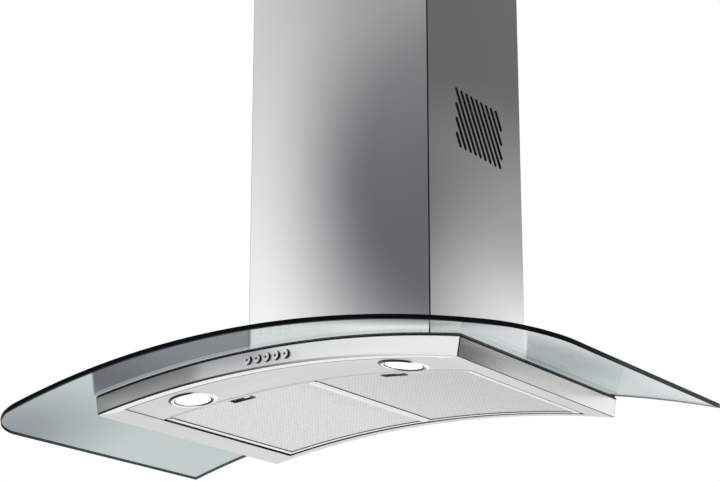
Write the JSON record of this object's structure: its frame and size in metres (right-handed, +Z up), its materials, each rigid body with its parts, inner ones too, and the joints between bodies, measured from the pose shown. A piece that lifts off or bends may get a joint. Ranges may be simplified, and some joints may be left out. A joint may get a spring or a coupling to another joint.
{
  "type": "wall range hood",
  "caption": "Wall hood with an arched glass canopy, stainless housing and chimney, swing-down mesh filters, two lamps, push buttons, and a fan that vents upward.",
  "frame": {"origin": "centre of the four wall bolts, on the wall plane", "axes": "+X to the right across the hood, +Y into the wall, +Z up; the hood stands on the side of negative Y"},
  "size_m": [0.9, 0.491, 0.7057],
  "materials": {
    "clear_glass": "polished, faint green-grey tint",
    "stainless": "brushed",
    "bright_trim": "polished",
    "filter_metal": "satin",
    "mesh": "fine mesh",
    "galvanised": "matte plated sheet",
    "button_metal": "satin",
    "black_plastic": "matte",
    "grey_plastic": "matte",
    "white_plastic": "matte",
    "dark_rubber": "matte",
    "lens_glass": "frosted",
    "reflector": "polished",
    "ceramic": "glazed",
    "bulb_glass": "clear",
    "screw_steel": "plated",
    "motor_metal": "painted",
    "shaft_steel": "ground"
  },
  "bodies": {
    "hood": {"canopy_glass": "clear_glass", "glass_gasket": "dark_rubber", "canopy_housing": "stainless", "lamp_panel": "stainless", "filter_rail": "galvanised", "centre_strut": "galvanised", "switch_block": "black_plastic", "wall_plate": "galvanised", "blower_box": "galvanised", "box_screws": "screw_steel", "glass_clamps": "galvanised", "clamp_screws": "screw_steel", "scroll_left": "grey_plastic", "scroll_right": "grey_plastic", "scroll_screws": "screw_steel", "motor": "motor_metal", "motor_bracket": "galvanised", "motor_grommets": "dark_rubber", "outlet_collar": "black_plastic", "terminal_box": "white_plastic", "cable_gland": "black_plastic", "run_capacitor": "white_plastic", "lamp_transformer": "black_plastic", "lower_chimney_cover": "stainless", "cover_bracket": "galvanised", "lamp_ring_left": "bright_trim", "lamp_lens_left": "lens_glass", "lamp_cup_left": "reflector", "lamp_holder_left": "ceramic", "lamp_bulb_left": "bulb_glass", "lamp_ring_right": "bright_trim", "lamp_lens_right": "lens_glass", "lamp_cup_right": "reflector", "lamp_holder_right": "ceramic", "lamp_bulb_right": "bulb_glass"},
    "fan": {"impeller": "black_plastic", "fan_shaft": "shaft_steel"},
    "upper_cover": {"upper_chimney_cover": "stainless", "upper_cover_bracket": "galvanised", "upper_cover_screws": "screw_steel"},
    "filter_left": {"filter_frame_left": "filter_metal", "filter_mesh_left": "mesh"},
    "filter_right": {"filter_frame_right": "filter_metal", "filter_mesh_right": "mesh"},
    "latch_left": {"filter_latch_left": "bright_trim"},
    "latch_right": {"filter_latch_right": "bright_trim"},
    "front_flap": {"flap_front": "grey_plastic"},
    "rear_flap": {"flap_rear": "grey_plastic"},
    "button_1": {"push_button_1": "button_metal"},
    "button_2": {"push_button_2": "button_metal"},
    "button_3": {"push_button_3": "button_metal"},
    "button_4": {"push_button_4": "button_metal"},
    "button_5": {"push_button_5": "button_metal"}
  },
  "joints": [
    {"name": "fan_spin", "type": "hinge", "parent": "hood", "child": "fan", "pos_m": [0, -0.126, -0.016], "axis": [1, 0, 0], "continuous": true},
    {"name": "upper_cover_slide", "type": "slide", "parent": "hood", "child": "upper_cover", "axis": [0, 0, 1], "range_m": [0, 0.21]},
    {"name": "filter_left_swing", "type": "hinge", "parent": "hood", "child": "filter_left", "pos_m": [0, -0.012, -0.16339], "axis": [1, 0, 0], "range_deg": [0, 30]},
    {"name": "filter_right_swing", "type": "hinge", "parent": "hood", "child": "filter_right", "pos_m": [0, -0.012, -0.16339], "axis": [1, 0, 0], "range_deg": [0, 30]},
    {"name": "latch_left_slide", "type": "slide", "parent": "filter_left", "child": "latch_left", "axis": [0, 1, 0], "range_m": [0, 0.005], "stiffness_N_per_m": 150, "springref_m": -0.002},
    {"name": "latch_right_slide", "type": "slide", "parent": "filter_right", "child": "latch_right", "axis": [0, 1, 0], "range_m": [0, 0.005], "stiffness_N_per_m": 150, "springref_m": -0.002},
    {"name": "front_flap_hinge", "type": "hinge", "parent": "hood", "child": "front_flap", "pos_m": [0, -0.122, 0.15], "axis": [-1, 0, 0], "range_deg": [0, 80]},
    {"name": "rear_flap_hinge", "type": "hinge", "parent": "hood", "child": "rear_flap", "pos_m": [0, -0.114, 0.15], "axis": [1, 0, 0], "range_deg": [0, 80]},
    {"name": "button_1_press", "type": "slide", "parent": "hood", "child": "button_1", "axis": [0, 1, 0], "range_m": [0, 0.003], "stiffness_N_per_m": 300, "springref_m": -0.001},
    {"name": "button_2_press", "type": "slide", "parent": "hood", "child": "button_2", "axis": [0, 1, 0], "range_m": [0, 0.003], "stiffness_N_per_m": 300, "springref_m": -0.001},
    {"name": "button_3_press", "type": "slide", "parent": "hood", "child": "button_3", "axis": [0, 1, 0], "range_m": [0, 0.003], "stiffness_N_per_m": 300, "springref_m": -0.001},
    {"name": "button_4_press", "type": "slide", "parent": "hood", "child": "button_4", "axis": [0, 1, 0], "range_m": [0, 0.003], "stiffness_N_per_m": 300, "springref_m": -0.001},
    {"name": "button_5_press", "type": "slide", "parent": "hood", "child": "button_5", "axis": [0, 1, 0], "range_m": [0, 0.003], "stiffness_N_per_m": 300, "springref_m": -0.001}
  ]
}
